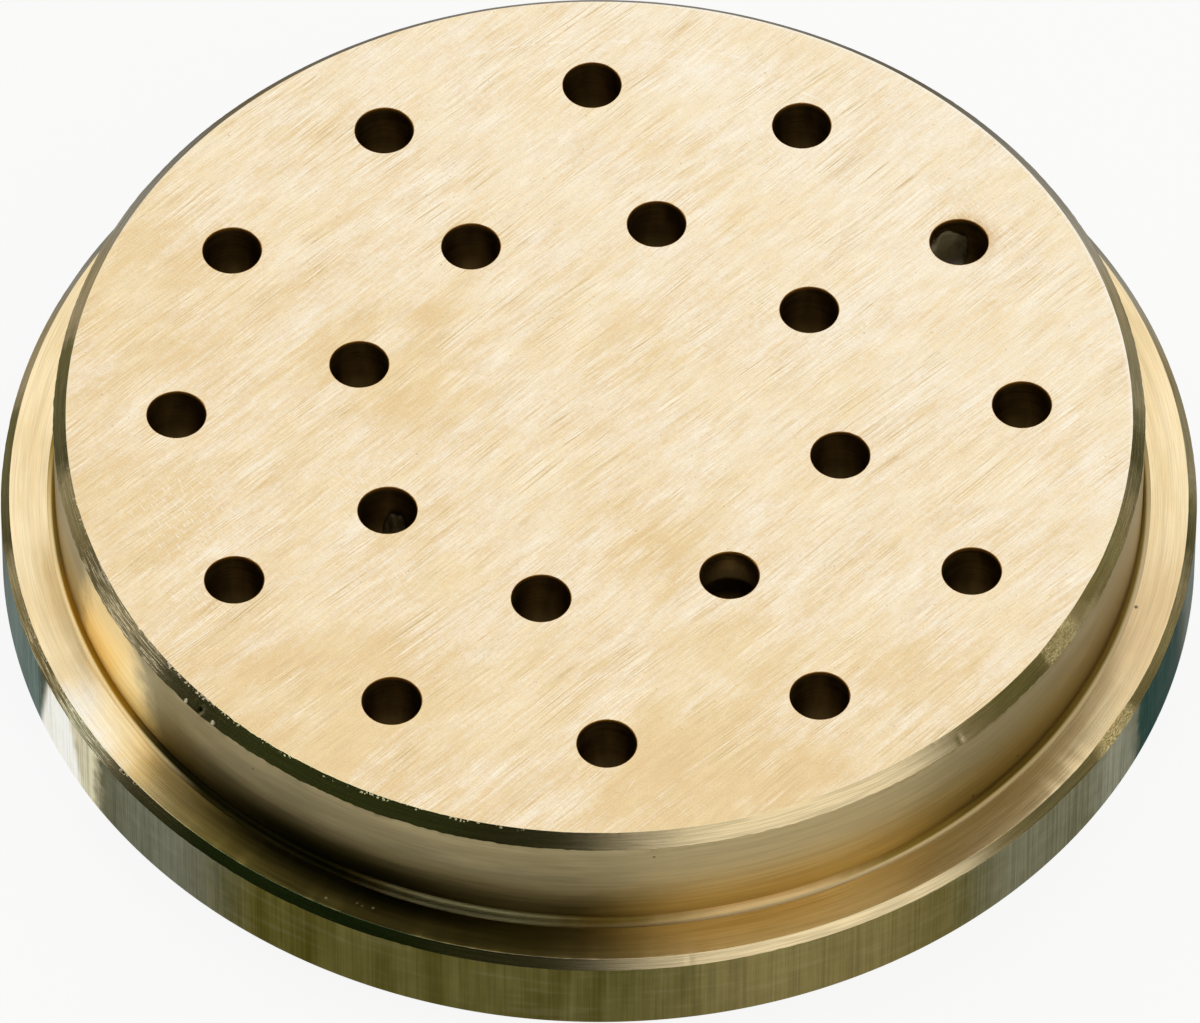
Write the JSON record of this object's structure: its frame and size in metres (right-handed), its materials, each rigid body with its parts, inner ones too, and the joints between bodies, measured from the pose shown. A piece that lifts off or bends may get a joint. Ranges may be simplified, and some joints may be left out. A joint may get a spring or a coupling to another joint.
{
  "type": "pasta extrusion die",
  "caption": "Flanged brass disc, drilled through with concentric rings of round holes, that forms dough into thick strands at the mouth of a pasta extruder.",
  "frame": {"origin": "centre of the flat inlet face, which rests on the table", "axes": "+Z along the die's axis, out of the outlet face; +X through one hole of the outer ring"},
  "size_m": [0.0568, 0.0568, 0.0105],
  "materials": {
    "brass": "bare brass: face brushed in straight strokes, sides turned, rim left as dull drawn bar"
  },
  "bodies": {
    "root": {"die_body": "brass"}
  },
  "joints": []
}
